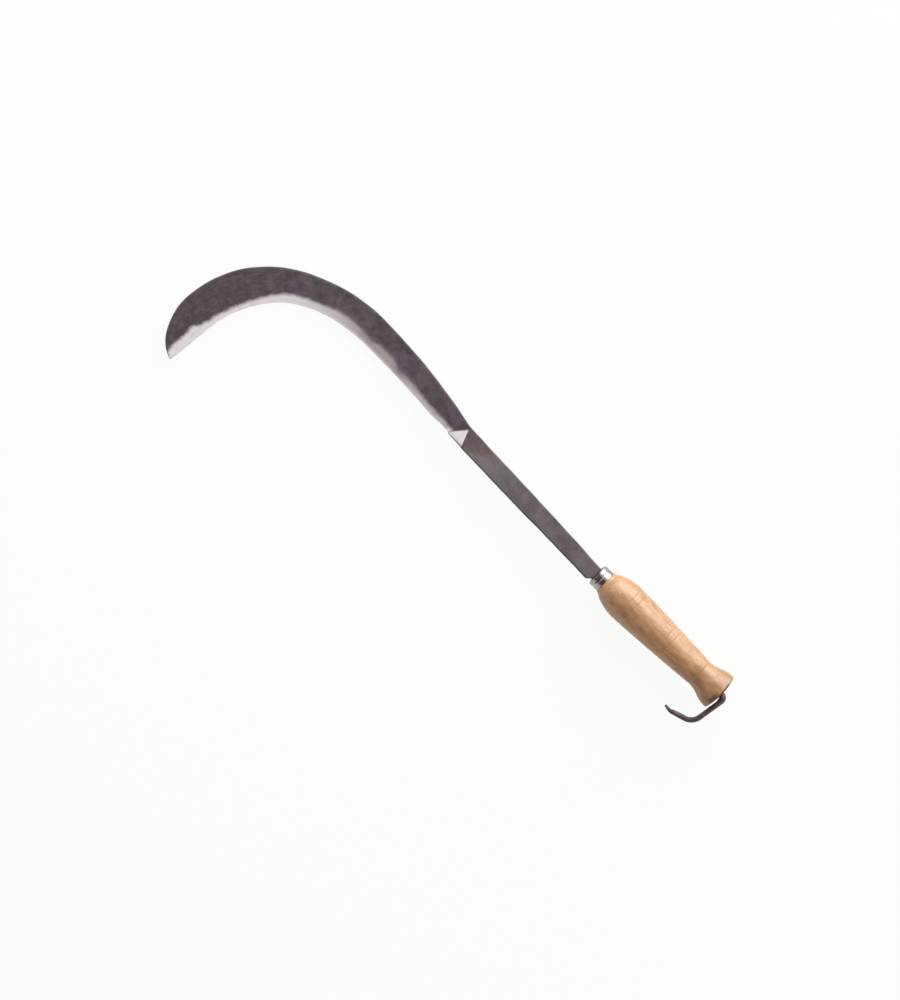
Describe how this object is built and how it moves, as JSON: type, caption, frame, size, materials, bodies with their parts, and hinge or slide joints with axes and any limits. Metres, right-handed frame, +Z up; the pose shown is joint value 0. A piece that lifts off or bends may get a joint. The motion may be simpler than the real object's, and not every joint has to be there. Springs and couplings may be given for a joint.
{
  "type": "billhook",
  "caption": "Sickle-shaped pruning billhook: forged crescent blade welded to a long flat shank, turned wooden handle, crimped ferrule and a belt hook bent from the through tang.",
  "frame": {"origin": "on the handle's axis, halfway along its wood, where a hand closes on the grip", "axes": "+X runs from the handle to the blade, +Y to the side of the cutting edge, +Z up off the flat of the blade"},
  "size_m": [0.5676, 0.1509, 0.0352],
  "materials": {
    "forged_blade": "dark mottled forge scale with a bright ground bevel along the edge",
    "forged_shank": "grey-violet forge scale, temper colours and a ground facet at the heel",
    "bright_ferrule": "polished bright plated tube",
    "turned_wood": "pale turned beech, smooth, with a thin clear coat"
  },
  "bodies": {
    "root": {"blade": "forged_blade", "shank": "forged_shank", "ferrule": "bright_ferrule", "handle": "turned_wood"}
  },
  "joints": []
}
